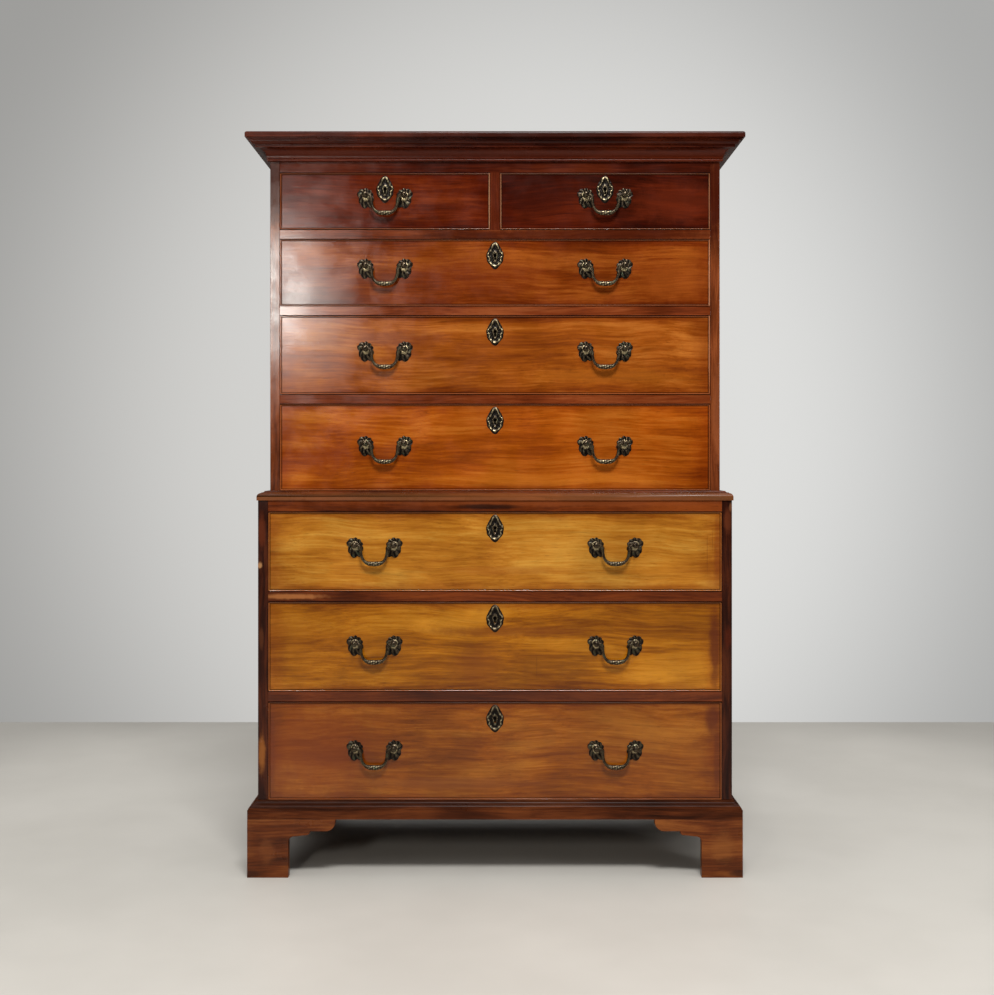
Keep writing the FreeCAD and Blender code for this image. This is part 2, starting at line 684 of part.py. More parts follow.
# ---------------------------------------------------------------- the upper case
def upper_chest():
    rows = [name for name, _, _ in upper_rows]
    open_half = upper_open
    rail_back = upper_front + rail_depth
    short_floor, short_top = upper_levels[rows[0]]
    short_middle = (divider / 2 + open_half) / 2
    rails = [rail(open_half, upper_front, frieze_z, upper_top_z - upper_top, frieze_depth)]
    boards = [
        board(open_half, upper_front, upper_foot, upper_floor),
        board(open_half, upper_front, upper_top_z - upper_top, upper_top_z),
    ]
    for name in rows[1:]:
        level = upper_levels[name][1]
        rails.append(rail(open_half, upper_front, level, level + upper_rail, rail_depth))
        boards.append(board(open_half, rail_back, level + upper_rail - dustboard, level + upper_rail))
    save("upper_sides", sides(upper_half, upper_side, upper_front, upper_foot, upper_top_z, rails + boards))
    upright = box(-divider / 2, divider / 2, upper_front, upper_front + rail_depth, short_floor, short_top)
    tenon = box(-divider / 2, divider / 2, upper_front + tenon_set_back, upper_front + frieze_depth,
                short_floor - divider_tenon, short_top + divider_tenon)
    upright = upright.fuse(tenon).removeSplitter()
    short_pockets = [mortise(x, upper_front, short_top) for x in (-short_middle, short_middle)]
    pockets = [mortise(0.0, upper_front, upper_levels[name][1]) for name in rows[1:]]
    pierced = [rails[0].cut(short_pockets + [upright])]
    pierced += [shape.cut([pocket, upright]) for shape, pocket in zip(rails[1:], pockets)]
    save("upper_rails", pierced + [upright])
    stop_pieces = []
    for name in rows[1:]:
        stop_pieces += stops(upper_front, upper_levels[name][0], -open_half, open_half)
    short_stops = stops(upper_front, short_floor, divider / 2, open_half)
    guide = box(-guide_width / 2, guide_width / 2, upper_front + rail_depth, inner_back,
                short_floor, short_floor + guide_height)
    save("upper_boards", boards + stop_pieces + short_stops + [mirrored(s) for s in short_stops] + [guide])
    save("upper_back", planks(open_half, upper_foot, upper_top_z))
    save("cornice", moulding(cornice_profile(), upper_half, upper_front, cornice_z, cornice_height))
    for side, name in ((-1, "top_left_drawer"), (1, "top_right_drawer")):
        ends = sorted((side * divider / 2, side * open_half))
        drawer(name, *ends, upper_levels[rows[0]], upper_front, upper_drawer_length,
               [side * short_middle], upper_rows[0][2])
    for name, _, post_rise in upper_rows[1:]:
        drawer(name, -open_half, open_half, upper_levels[name], upper_front, upper_drawer_length,
               [-upper_handle_x, upper_handle_x], post_rise)


os.makedirs("parts", exist_ok=True)
lower_chest()
upper_chest()
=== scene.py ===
"""The looks of a mahogany chest on chest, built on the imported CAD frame.

Lengths are metres in the part's own frame: +Z is up and the drawer fronts face -Y. The wooden nodes keep
their CAD shapes and get eased edges and procedural wood. The brassware is modelled here in full.
"""
import json
import math

import bmesh
import bpy
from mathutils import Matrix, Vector


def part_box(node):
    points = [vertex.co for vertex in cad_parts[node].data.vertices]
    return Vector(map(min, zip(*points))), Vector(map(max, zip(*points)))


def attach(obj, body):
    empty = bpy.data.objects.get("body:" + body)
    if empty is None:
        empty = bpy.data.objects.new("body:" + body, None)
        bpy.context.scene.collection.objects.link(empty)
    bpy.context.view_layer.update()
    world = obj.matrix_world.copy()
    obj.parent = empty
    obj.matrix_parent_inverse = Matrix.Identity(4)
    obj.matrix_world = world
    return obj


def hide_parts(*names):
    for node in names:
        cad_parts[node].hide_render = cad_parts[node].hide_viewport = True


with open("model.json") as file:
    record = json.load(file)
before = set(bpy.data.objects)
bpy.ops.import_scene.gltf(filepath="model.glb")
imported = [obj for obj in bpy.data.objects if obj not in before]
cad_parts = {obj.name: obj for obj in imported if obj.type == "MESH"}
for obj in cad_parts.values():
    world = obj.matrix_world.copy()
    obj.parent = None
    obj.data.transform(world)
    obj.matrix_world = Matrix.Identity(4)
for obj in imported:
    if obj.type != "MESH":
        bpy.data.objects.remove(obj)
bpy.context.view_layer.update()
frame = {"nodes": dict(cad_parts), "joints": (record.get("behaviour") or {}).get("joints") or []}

nodes = frame["nodes"]
joints = {joint["name"]: joint for joint in frame["joints"]}
MM = 0.001

SHORT_DRAWERS = ["top_left_drawer", "top_right_drawer"]
LONG_DRAWERS = [f"upper_drawer_{i}" for i in (2, 3, 4)] + [f"lower_drawer_{i}" for i in (1, 2, 3)]
DRAWERS = SHORT_DRAWERS + LONG_DRAWERS

# ---------------------------------------------------------------- places on the wood, in metres
LOWEST_DRAWER = 0.160       # the wood below this height is the chest's grimy underside
REAR_BRACES = 0.021         # the rear feet's boards across the chest lie this near the back
DRAWER_SIDES = 0.0095       # the sides of a drawer's box lie this near its left and right
SIDE_MARKS_REACH = 0.008    # the marks on the sides reach this far back from the front edge
SIDE_MARKS_FADE = 0.012     # and are gone this much further back
EASED = 0.0007              # width of the eased edges of the cases
EASED_FINE = 0.0006         # and of the drawers
# The rim of a drawer front, as distances from its edge: a tone is full at the first and gone at the second.
# Along the bead the tone is lighter, for worn polish and a painted highlight. Beside it lie dirt and painted
# shade, and in the gaps round the front lies painted shadow.
BEAD = (0.0028, 0.0031)
CORNER_OUTSIDE = (0.0038, 0.0060)
CORNER_INSIDE = (0.0029, 0.0032)        # here the other way round: gone at the first, full at the second
GAP_SHADOW_AT_ENDS = (0.0004, 0.0010)
GAP_SHADOW_AT_TOP = (0.0013, 0.0018)
GAP_SHADOW_AT_BOTTOM = (0.0009, 0.0013)

# ---------------------------------------------------------------- sizes of the brassware, in millimetres
POST_HALF_SPACING = 45.0
POST_PROFILE = [            # radius, distance out from the drawer front
    (7.6, 1.2), (7.9, 2.4), (6.8, 3.4), (4.6, 4.4), (3.9, 6.0), (4.0, 8.0), (5.0, 9.4), (5.4, 11.5),
    (5.4, 16.0), (5.2, 17.2), (5.7, 17.9), (6.5, 18.8), (6.7, 20.2), (6.0, 21.8), (4.2, 23.0), (1.8, 23.6),
    (0.0, 23.7),
]
# Behind a drawer front: radius, distance back from its inner face.
NUT_PROFILE = [(8.0, 0.0), (8.3, 0.8), (8.3, 4.2), (7.6, 5.0)]
BOLT_END_PROFILE = [(2.5, 0.0), (2.5, 6.6), (2.1, 7.0)]
RIVET_PROFILE = [(2.6, -0.4), (2.6, 0.0), (2.2, 0.35), (0.5, 0.4)]
POST_HOLE = 2.4             # radius of the hole in a backplate for its post
PLATE_RADII = [             # round a backplate, from its inner side
    18.0, 17.0, 16.0, 16.5, 17.0, 20.0, 18.0, 17.5, 25.0, 28.5, 28.5, 21.0,
]
ESCUTCHEON_RADII = [34.0, 24.5, 20.5, 19.5, 20.5, 22.5, 29.5]       # from top to bottom
KEYHOLE_EYE = 3.6           # radius of its round part
KEYHOLE_SLOT_HALF = 1.6     # half the width of its slot
KEYHOLE_LENGTH = 12.0
KEYHOLE_STEP = 0.05         # how finely its edge is looked for
KEY_DROP = 37.0             # from the top of a drawer front down to the middle of its escutcheon
BAIL_LINE = [               # distance from the middle, height, radius of the wire
    (46.2, 0.0, 1.85), (39.4, 0.0, 1.85), (39.2, 0.0, 3.4), (37.8, 0.0, 3.6), (37.2, -0.1, 3.0),
    (34.2, -1.4, 3.2), (31.4, -5.5, 3.5), (30.2, -12.0, 3.5), (29.4, -20.0, 3.3), (27.2, -28.5, 3.2),
    (23.4, -35.0, 3.4), (19.0, -39.0, 3.8), (17.8, -39.8, 4.8), (16.8, -40.3, 4.1), (12.0, -41.8, 5.0),
    (6.0, -42.5, 5.4), (0.0, -42.7, 5.5),
]
BAR_HEIGHT = -30.0          # the bail's bar is what lies lower than this
LEAF_HALF = 16.0            # half the length of the leaf moulding in the middle of the bar
FRONT_BOARD = 20.0          # thickness of a drawer front
PIVOT_OUT = 14.0            # from a drawer front out to the axis of its bails
HOLLOW = 0.4                # heights of the deepest and the most prominent parts of a cast plate
CREST = 3.2
SMALLEST_RADIUS = 0.05      # a turned piece ends in a small ring, not in a point
TURNED_RELIEF = 0.6         # how rubbed a turned piece is, in the relief that the patina reads

# The lock cases, in metres from the middle of their top edge, with the drawer front's inner face at y = 0.
# A known fault: the case should reach as far to the right as to the left. As it is, its
# right half is missing, and the two rivets there have nothing behind them.
LOCK_CASE = (Vector((-0.030, -0.010, -0.048)), Vector((0.0, 0.0, 0.0)))
LOCK_EASING = 0.0006
RIVETS = [(-0.025, -0.007), (-0.025, -0.041), (0.025, -0.007), (0.025, -0.041)]     # x, z

# ---------------------------------------------------------------- colours as they look: dark, middle, light
FRONT_TONES = {
    "top_left_drawer": [(52, 14, 3), (86, 26, 4), (114, 44, 12)],
    "top_right_drawer": [(36, 9, 3), (62, 17, 5), (92, 30, 9)],
    "upper_drawer_2": [(80, 28, 4), (112, 46, 7), (148, 76, 22)],
    "upper_drawer_3": [(100, 42, 9), (139, 69, 14), (172, 100, 36)],
    "upper_drawer_4": [(112, 44, 5), (152, 72, 10), (180, 101, 30)],
    "lower_drawer_1": [(134, 74, 14), (169, 107, 29), (192, 138, 54)],
    "lower_drawer_2": [(108, 54, 4), (158, 94, 11), (186, 122, 30)],
    "lower_drawer_3": [(94, 41, 5), (131, 68, 10), (158, 95, 26)],
}
CORNICE_TONES = [(34, 8, 3), (62, 18, 6), (98, 38, 16)]
# The frieze is darker than the rails: painted shade.
FRIEZE_SHADED_TONES = [(38, 10, 4), (62, 18, 6), (88, 34, 14)]
UPPER_RAIL_TONES = [(66, 24, 8), (108, 46, 17), (136, 70, 34)]
DIVIDER_TONES = [(50, 16, 6), (80, 28, 10), (104, 46, 22)]
LOWER_RAIL_TONES = [(52, 17, 4), (96, 40, 11), (124, 58, 19)]
UPPER_SIDE_TONES = [(52, 20, 8), (106, 50, 22), (142, 76, 38)]
LOWER_SIDE_TONES = [(24, 7, 3), (46, 17, 8), (84, 38, 17)]
BASE_TONES = [(34, 12, 4), (76, 34, 13), (112, 58, 26)]
FEET_TONES = [(36, 13, 4), (98, 46, 16), (134, 76, 32)]
LINING_TONES = [(122, 90, 56), (154, 119, 80), (178, 145, 104)]
UNDERSIDE_TONES = [(40, 28, 20), (66, 48, 34), (92, 70, 50)]
BACK_TONES = [(92, 66, 44), (132, 102, 70), (162, 132, 96)]
BEAD_COLOUR = (160, 92, 52)         # of the cockbead: its worn polish, and a painted highlight along it
# the dirt and painted shadow round a drawer front's cockbead
DIRT_AND_SHADE_COLOUR = (16, 6, 3)
WORN_COLOUR = (176, 112, 92)        # multiplies the tones of a drawer front near its ends
# Old stains, rubbed places, painted highlights and painted shade, each as middle (x, z), half size, colour,
# strength.
POST_GRIME_AND_SHADE = ((0.017, 0.020), (40, 14, 6), 0.55)        # these two without their middle: grime with painted shade round a post, and painted shade in a keyhole
KEYHOLE_SHADE = ((0.005, 0.010), (6, 3, 2), 1.0)
POST_GRIME_AND_SHADE_DROP = 0.007             # the grime and painted shade round a post sit this far below it
RAIL_MARKS = [
    ((0.150, 0.857), (0.500, 0.012), (132, 66, 30), 0.5),
    ((-0.017, 0.847), (0.086, 0.007), (34, 15, 9), 0.85),
    ((-0.470, 0.640), (0.090, 0.007), (166, 104, 56), 0.7),
    ((0.100, 0.411), (0.500, 0.012), (58, 24, 10), 0.45),
]
UPPER_RAIL_MARKS = [((0.250, 1.477), (0.420, 0.016), (52, 14, 5), 0.7)]
CORNICE_MARKS = [
    # The first is painted shade along the top of the cornice.
    ((0.0, 1.705), (3.0, 0.016), (46, 17, 9), 0.5),
    ((0.0, 1.657), (3.0, 0.014), (100, 36, 14), 0.6),
]
WAIST_MARKS = [((0.0, 0.869), (3.0, 0.011), (136, 86, 48), 0.4)]
# Painted shade along the top of the base moulding.
BASE_MARKS = [((0.0, 0.166), (3.0, 0.007), (26, 10, 5), 0.6)]
FEET_MARKS = [
    ((-0.560, 0.010), (0.030, 0.008), (46, 20, 10), 0.7),
    ((0.560, 0.010), (0.030, 0.008), (40, 16, 8), 0.7),
    # These two are painted highlights on the front feet.
    ((0.520, 0.070), (0.030, 0.040), (140, 84, 38), 0.35),
    ((-0.520, 0.060), (0.020, 0.034), (124, 70, 34), 0.35),
]
UPPER_SIDE_MARKS = [
    # The first two are painted shade at the tops of the stiles.
    ((-0.510, 1.580), (0.030, 0.110), (44, 12, 5), 0.85),
    ((0.510, 1.570), (0.030, 0.130), (50, 10, 4), 0.85),
    ((0.515, 1.060), (0.012, 0.120), (150, 84, 50), 0.35),
]
LOWER_SIDE_MARKS = [
    ((-0.536, 0.280), (0.009, 0.048), (146, 86, 36), 0.75),
    ((-0.541, 0.712), (0.006, 0.008), (176, 128, 84), 0.75),
    ((-0.536, 0.790), (0.010, 0.045), (104, 44, 18), 0.5),
    ((-0.537, 0.545), (0.006, 0.030), (92, 50, 26), 0.5),
    ((0.542, 0.846), (0.004, 0.012), (150, 96, 62), 0.35),
    ((0.535, 0.815), (0.010, 0.030), (110, 54, 30), 0.4),
    ((0.536, 0.545), (0.010, 0.030), (84, 30, 10), 0.5),
]
FRONT_MARKS = {
    "top_left_drawer": [
        ((-0.440, 1.560), (0.080, 0.014), (44, 12, 6), 0.4),
        # A painted highlight on the cockbead beside the divider.
        ((-0.0133, 1.553), (0.0022, 0.100), (172, 128, 96), 0.5),
    ],
    "top_right_drawer": [
        ((0.110, 1.565), (0.090, 0.050), (50, 14, 8), 0.45),
        ((0.430, 1.550), (0.120, 0.050), (100, 36, 16), 0.4),
        # A painted highlight on the cockbead beside the divider, and one on the cockbead at the right end.
        ((0.0133, 1.553), (0.0022, 0.100), (150, 104, 76), 0.45),
        ((0.4965, 1.553), (0.0022, 0.09), (150, 104, 76), 0.4),
    ],
    "upper_drawer_2": [
        ((-0.050, 1.385), (0.200, 0.050), (104, 38, 8), 0.4),
        ((0.420, 1.370), (0.100, 0.050), (150, 76, 24), 0.35),
        # A painted highlight on the cockbead at the right end.
        ((0.4965, 1.385), (0.0022, 0.110), (200, 140, 104), 0.5),
    ],
    "upper_drawer_3": [
        ((-0.220, 1.235), (0.120, 0.020), (98, 40, 16), 0.45),
        ((0.250, 1.150), (0.200, 0.020), (170, 96, 26), 0.4),
        # A painted highlight on the cockbead at the right end.
        ((0.4965, 1.220), (0.0022, 0.120), (200, 140, 104), 0.35),
    ],
    "upper_drawer_4": [
        ((-0.400, 0.960), (0.090, 0.040), (112, 40, 10), 0.5),
        ((0.100, 0.910), (0.300, 0.016), (176, 96, 20), 0.4),
    ],
    "lower_drawer_1": [
        ((0.488, 0.740), (0.0007, 0.050), (88, 44, 16), 0.6),
        ((0.500, 0.770), (0.0006, 0.036), (88, 44, 16), 0.5),
        ((0.512, 0.740), (0.010, 0.100), (112, 50, 16), 0.5),
        ((0.020, 0.700), (0.160, 0.012), (150, 86, 26), 0.5),
    ],
    "lower_drawer_2": [
        ((0.096, 0.480), (0.0007, 0.030), (80, 36, 14), 0.6),
        ((0.506, 0.520), (0.015, 0.100), (82, 32, 12), 0.75),
        ((0.020, 0.560), (0.200, 0.014), (106, 50, 14), 0.55),
        ((-0.040, 0.480), (0.070, 0.050), (116, 56, 14), 0.4),
        ((-0.420, 0.540), (0.120, 0.080), (120, 64, 8), 0.3),
    ],
    "lower_drawer_3": [
        ((0.500, 0.360), (0.020, 0.036), (78, 28, 10), 0.7),
        ((0.510, 0.270), (0.008, 0.100), (84, 34, 12), 0.5),
        ((-0.515, 0.280), (0.012, 0.110), (88, 38, 18), 0.5),
        ((-0.400, 0.285), (0.150, 0.120), (114, 46, 6), 0.5),
        ((-0.100, 0.210), (0.220, 0.016), (112, 60, 28), 0.4),
    ],
}


# ---------------------------------------------------------------- node trees
def srgb(colour):
    """A colour as it looks, 0 to 255, as linear light with alpha."""
    parts = [c / 255 for c in colour]
    return [p / 12.92 if p <= 0.04045 else ((p + 0.055) / 1.055) ** 2.4 for p in parts] + [1.0]


class Graph:
    """The node tree of a new material. Each method adds a node and returns the socket it gives."""

    def __init__(self, name):
        self.material = bpy.data.materials.new(name)
        self.material.use_nodes = True
        self.tree = self.material.node_tree
        self.tree.nodes.clear()

    def node(self, kind, inputs=(), **settings):
        made = self.tree.nodes.new("ShaderNode" + kind)
        for key, value in settings.items():
            setattr(made, key, value)
        for key, value in dict(inputs).items():
            self.feed(made.inputs[key], value)
        return made

    def feed(self, socket, value):
        if isinstance(value, bpy.types.NodeSocket):
            self.tree.links.new(value, socket)
        else:
            socket.default_value = value

    def math(self, operation, a, b=0.0):
        return self.node("Math", {0: a, 1: b}, operation=operation).outputs[0]

    def vector(self, operation, a, b=(0, 0, 0)):
        return self.node("VectorMath", {0: a, 1: b}, operation=operation).outputs[0]

    def attribute(self, name):
        return self.node("Attribute", attribute_name=name).outputs["Fac"]

    def product(self, *values):
        made = values[0]
        for value in values[1:]:
            made = self.math("MULTIPLY", made, value)
        return made

    def grey(self, value):
        return self.node("CombineColor", {0: value, 1: value, 2: value}).outputs[0]

    def board_place(self, shift):
        """Object coordinates, the same moved by another amount for each board so that no two share their
        grain, and the board's number."""
        place = self.node("TexCoord").outputs["Object"]
        board = self.attribute("board")
        moved = self.node("VectorMath", {0: shift}, operation="SCALE")
        self.feed(moved.inputs["Scale"], board)
        return place, self.vector("ADD", place, moved.outputs[0]), board

    def noise(self, vector, scale, detail=2.0, roughness=0.5, distortion=0.0):
        inputs = {"Vector": vector, "Scale": scale, "Detail": detail, "Roughness": roughness}
        return self.node("TexNoise", {**inputs, "Distortion": distortion}).outputs[0]

    def spread(self, value, low, high, to_low=0.0, to_high=1.0):
        """Maps low..high onto to_low..to_high with soft ends."""
        inputs = {"Value": value, "From Min": low, "From Max": high, "To Min": to_low, "To Max": to_high}
        return self.node("MapRange", inputs, interpolation_type="SMOOTHSTEP").outputs[0]

    def mix(self, factor, a, b, blend="MIX"):
        made = self.node("Mix", data_type="RGBA", blend_type=blend)
        for socket, value in ((made.inputs[0], factor), (made.inputs[6], a), (made.inputs[7], b)):
            self.feed(socket, value)
        return made.outputs[2]

    def ramp(self, factor, colours, places):
        made = self.node("ValToRGB", {0: factor})
        elements = made.color_ramp.elements
        while len(elements) < len(colours):
            elements.new(0.5)
        for element, place, colour in zip(elements, places, colours):
            element.position, element.color = place, colour
        return made.outputs[0]

    def bump(self, height, strength, distance, normal=None):
        inputs = {"Height": height, "Strength": strength, "Distance": distance}
        if normal:
            inputs["Normal"] = normal
        return self.node("Bump", inputs).outputs[0]

    def rim(self, colour, place, here, edges):
        """The cockbead, lighter for worn polish and a painted highlight; painted shadow in the gaps round the
        front and dirt with painted shade beside the bead; and the panel darkened towards its ends. Gives the
        new colour, and how much shine is left where the dirt and painted shade lie."""
        x0, x1, z0, z1 = edges
        axes = self.node("SeparateXYZ", {0: place}).outputs
        ends = self.math("MINIMUM", self.math("SUBTRACT", axes[0], x0), self.math("SUBTRACT", x1, axes[0]))
        below_top = self.math("SUBTRACT", z1, axes[2])
        above_bottom = self.math("SUBTRACT", axes[2], z0)
        sides = self.math("MINIMUM", above_bottom, below_top)
        near = self.math("MINIMUM", self.math("MULTIPLY", ends, 0.42), sides)
        ragged = self.math("MULTIPLY", self.noise(here, 20, 4, 0.65), 0.03)
        worn = self.spread(self.math("SUBTRACT", near, ragged), -0.012, 0.010, 0.5, 0.0)
        colour = self.mix(worn, colour, self.mix(1.0, colour, srgb(WORN_COLOUR), "MULTIPLY"))
        straight = self.math("MINIMUM", ends, sides)
        # The bead, lighter for worn polish and a painted highlight.
        bead = self.spread(straight, *BEAD, 0.8, 0.0)
        colour = self.mix(bead, colour, self.mix(0.5, colour, srgb(BEAD_COLOUR)))
        # Dirt with painted shade beside the bead, and painted shadow in the gaps round the front.
        corner = self.product(self.spread(straight, *CORNER_OUTSIDE, 0.85, 0.0),
                              self.spread(straight, *CORNER_INSIDE))
        gap_shadow = self.math("MAXIMUM", self.spread(straight, *GAP_SHADOW_AT_ENDS, 0.9, 0.0),
                        self.spread(below_top, *GAP_SHADOW_AT_TOP, 0.98, 0.0))
        gap_shadow = self.math("MAXIMUM", gap_shadow, self.spread(above_bottom, *GAP_SHADOW_AT_BOTTOM, 0.95, 0.0))
        dirt = self.math("MAXIMUM", corner, gap_shadow)
        # Less shine where the dirt and painted shadow lie.
        return self.mix(dirt, colour, srgb(DIRT_AND_SHADE_COLOUR)), self.spread(dirt, 0.0, 1.0, 1.0, 0.1)

    def finish(self, inputs):
        shader = self.node("BsdfPrincipled", inputs)
        self.node("OutputMaterial", {"Surface": shader.outputs[0]})
        return self.material


def stretch(along, share):
    """Factors that draw a pattern out along X, Y or Z."""
    return tuple(share if axis == along else 1.0 for axis in "XYZ")


def wood(name, tones, along, edges=None, gloss=0.14, marks=(), shine=0.3, reach=None):
    """Polished mahogany with its grain along X, Y or Z.

    edges is (x0, x1, z0, z1) of a drawer front, for its cockbead, the painted shadow in its gaps, the dirt
    and painted shade beside the bead, and its darkened rim. Each of marks is (x, z), (half width, half
    height), colour, strength, and behind the depth reach the marks fade out.
    """
    g = Graph(name)
    place, here, _ = g.board_place((3.7, 9.1, 6.3))
    swirl = g.node("TexNoise", {"Vector": here, "Scale": 2.4}).outputs["Color"]
    warp = g.vector("SUBTRACT", swirl, (0.5, 0.5, 0.5))
    bent = g.vector("ADD", here, g.vector("MULTIPLY", warp, (0.06, 0.06, 0.06)))
    cloudy = g.vector("MULTIPLY", bent, stretch(along, 0.3))
    grain = g.vector("MULTIPLY", bent, stretch(along, 0.07))
    hair = g.vector("MULTIPLY", bent, stretch(along, 0.04))

    broad = g.noise(cloudy, 9, 3, 0.5, 0.5)
    streak = g.noise(grain, 34, 4, 0.6, 0.6)
    fine = g.noise(hair, 190, 4, 0.62)
    mixed = g.math("ADD", g.math("MULTIPLY", broad, 0.42), g.math("MULTIPLY", streak, 0.3))
    mixed = g.math("ADD", mixed, g.math("MULTIPLY", fine, 0.28))
    tone = g.spread(mixed, 0.34, 0.66)
    colour = g.ramp(tone, [srgb(t) for t in tones], (0.0, 0.5, 1.0))

    blotch = g.spread(g.noise(here, 7, 4, 0.6), 0.32, 0.7, 0.84, 1.08)
    vein = g.spread(g.noise(grain, 22, 3, 0.55, 1.6), 0.58, 0.74, 1.0, 0.76)
    fleck = g.spread(g.noise(hair, 900, 1, 0.5), 0.6, 0.72, 1.0, 0.74)
    colour = g.mix(1.0, colour, g.grey(g.product(blotch, vein, fleck)), "MULTIPLY")
    if edges:
        colour, clean_and_unshaded = g.rim(colour, place, here, edges)
        # Less shine where the dirt and painted shadow round the cockbead lie.
        shine = g.math("MULTIPLY", clean_and_unshaded, shine)
    axes = g.node("SeparateXYZ", {0: place}).outputs
    if reach is not None:
        near_front = g.spread(axes[1], reach, reach + SIDE_MARKS_FADE, 1.0, 0.0)
    for (x, z), (half_x, half_z), mark, strength in marks:
        u = g.math("DIVIDE", g.math("SUBTRACT", axes[0], x), half_x)
        v = g.math("DIVIDE", g.math("SUBTRACT", axes[2], z), half_z)
        away = g.math("SQRT", g.math("ADD", g.math("MULTIPLY", u, u), g.math("MULTIPLY", v, v)))
        away = g.math("ADD", away, g.math("MULTIPLY", g.noise(here, 60, 3, 0.6), 0.8))
        share = g.spread(away, 0.8, 1.6, strength, 0.0)
        if reach is not None:
            share = g.math("MULTIPLY", share, near_front)
        colour = g.mix(share, colour, srgb(mark))

    roughness = g.spread(g.noise(here, 14, 4, 0.65), 0.3, 0.7, gloss - 0.03, gloss + 0.08)
    normal = g.bump(g.noise(here, 10, 1, 0.4), 0.12, 0.004)
    normal = g.bump(g.math("MULTIPLY", fleck, fine), 0.12, 0.0006, normal)
    return g.finish({
        "Base Color": colour, "Roughness": roughness, "Normal": normal, "Specular IOR Level": shine,
    })


def bare_wood(name, tones, along):
    """Unpolished secondary wood, dusty and dry, with its grain along X, Y or Z."""
    g = Graph(name)
    _, here, board = g.board_place((5.3, 2.9, 7.7))
    grain = g.vector("MULTIPLY", here, stretch(along, 0.07))
    rings = g.noise(grain, 30, 4, 0.6, 0.8)
    fine = g.noise(grain, 300, 3, 0.65)
    mixed = g.math("ADD", g.math("MULTIPLY", rings, 0.7), g.math("MULTIPLY", fine, 0.3))
    colour = g.ramp(g.spread(mixed, 0.34, 0.66), [srgb(t) for t in tones], (0.0, 0.5, 1.0))
    dirt = g.spread(g.noise(here, 6, 5, 0.7), 0.42, 0.75, 0.0, 0.45)
    colour = g.mix(dirt, colour, srgb((70, 52, 38)))
    colour = g.mix(1.0, colour, g.grey(g.spread(board, 0.0, 1.0, 0.76, 1.1)), "MULTIPLY")
    return g.finish({
        "Base Color": colour, "Roughness": g.spread(fine, 0.3, 0.7, 0.62, 0.82),
        "Normal": g.bump(mixed, 0.3, 0.0012), "Specular IOR Level": 0.3,
    })


def patinated_brass(name, rubbed_share, smooth):
    """Cast brass, nearly black in its hollows, brown and green over them, and rubbed on its high places.

    rubbed_share is how much of the bare metal shows there, and smooth is the lowest roughness.
    """
    g = Graph(name)
    place = g.node("TexCoord").outputs["Object"]
    relief = g.attribute("relief")
    cloud = g.noise(place, 110, 4, 0.6)
    grime = g.noise(place, 420, 3, 0.6)
    dull = g.ramp(cloud, [srgb((38, 29, 21)), srgb((74, 62, 46)), srgb((60, 70, 54))], (0.36, 0.54, 0.7))
    uneven = g.math("ADD", relief, g.math("MULTIPLY", g.math("SUBTRACT", grime, 0.5), 0.9))
    colour = g.mix(g.spread(uneven, 0.66, 0.9, 0.0, rubbed_share), dull, srgb((186, 170, 132)))
    colour = g.mix(g.spread(uneven, 0.22, 0.46, 0.94, 0.0), colour, srgb((12, 8, 6)))
    return g.finish({
        "Base Color": colour, "Metallic": 0.8,
        "Roughness": g.spread(grime, 0.3, 0.7, smooth, smooth + 0.14), "Normal": g.bump(grime, 0.3, 0.0004),
    })


def old_steel(name):
    g = Graph(name)
    place = g.node("TexCoord").outputs["Object"]
    brushed = g.noise(g.vector("MULTIPLY", place, (1, 1, 12)), 160, 3, 0.6)
    rust = g.spread(g.noise(place, 90, 5, 0.7), 0.5, 0.7, 0.0, 0.6)
    steel = g.ramp(brushed, [srgb((92, 90, 86)), srgb((150, 147, 140))], (0.3, 0.7))
    return g.finish({
        "Base Color": g.mix(rust, steel, srgb((78, 48, 32))), "Metallic": 0.8,
        "Roughness": g.spread(brushed, 0.3, 0.7, 0.32, 0.55), "Normal": g.bump(brushed, 0.2, 0.0003),
    })


# ---------------------------------------------------------------- the wooden nodes
def eased(name, width=EASED, whole=True):
    """Joins the CAD faces of each solid of a node, and rounds its sharp edges a little."""
    modifiers = nodes[name].modifiers
    modifiers.new("join faces", "WELD").merge_threshold = 2e-5
    if whole:
        flat = modifiers.new("flat faces whole", "DECIMATE")
        flat.decimate_type = "DISSOLVE"
        flat.angle_limit = math.radians(0.5)
    bevel = modifiers.new("eased edges", "BEVEL")
    bevel.width, bevel.segments, bevel.limit_method = width, 2, "ANGLE"
    bevel.angle_limit = math.radians(32)
    modifiers.new("even shading", "WEIGHTED_NORMAL").keep_sharp = True


def number_boards(mesh, start):
    """Gives each separate board of a mesh a number of its own, which places its grain."""
    # Corners that fall in the same cell of 0.05 mm are one corner.
    places = [tuple(round(c * 2e4) for c in vertex.co) for vertex in mesh.vertices]
    leader = {place: place for place in places}

    def lead(place):
        while leader[place] != place:
            place = leader[place]
        return place

    for face in mesh.polygons:
        first, *others = (lead(places[i]) for i in face.vertices)
        for other in others:
            leader[other] = first
    order = {}
    numbers = []
    for face in mesh.polygons:
        board = order.setdefault(lead(places[face.vertices[0]]), len(order))
        numbers.append((start + 0.618 * board) % 1.0)       # steps of the golden ratio lie well apart
    mesh.attributes.new("board", "FLOAT", "FACE").data.foreach_set("value", numbers)


def dress(name, materials, pick=None):
    """Gives a node its materials; pick says which one a face takes, from the face's middle."""
    mesh = nodes[name].data
    number_boards(mesh, 0.377 * list(nodes).index(name) % 1.0)
    mesh.materials.clear()
    for material in materials:
        mesh.materials.append(material)
    for face in mesh.polygons:
        face.material_index = pick(face.center) if pick else 0


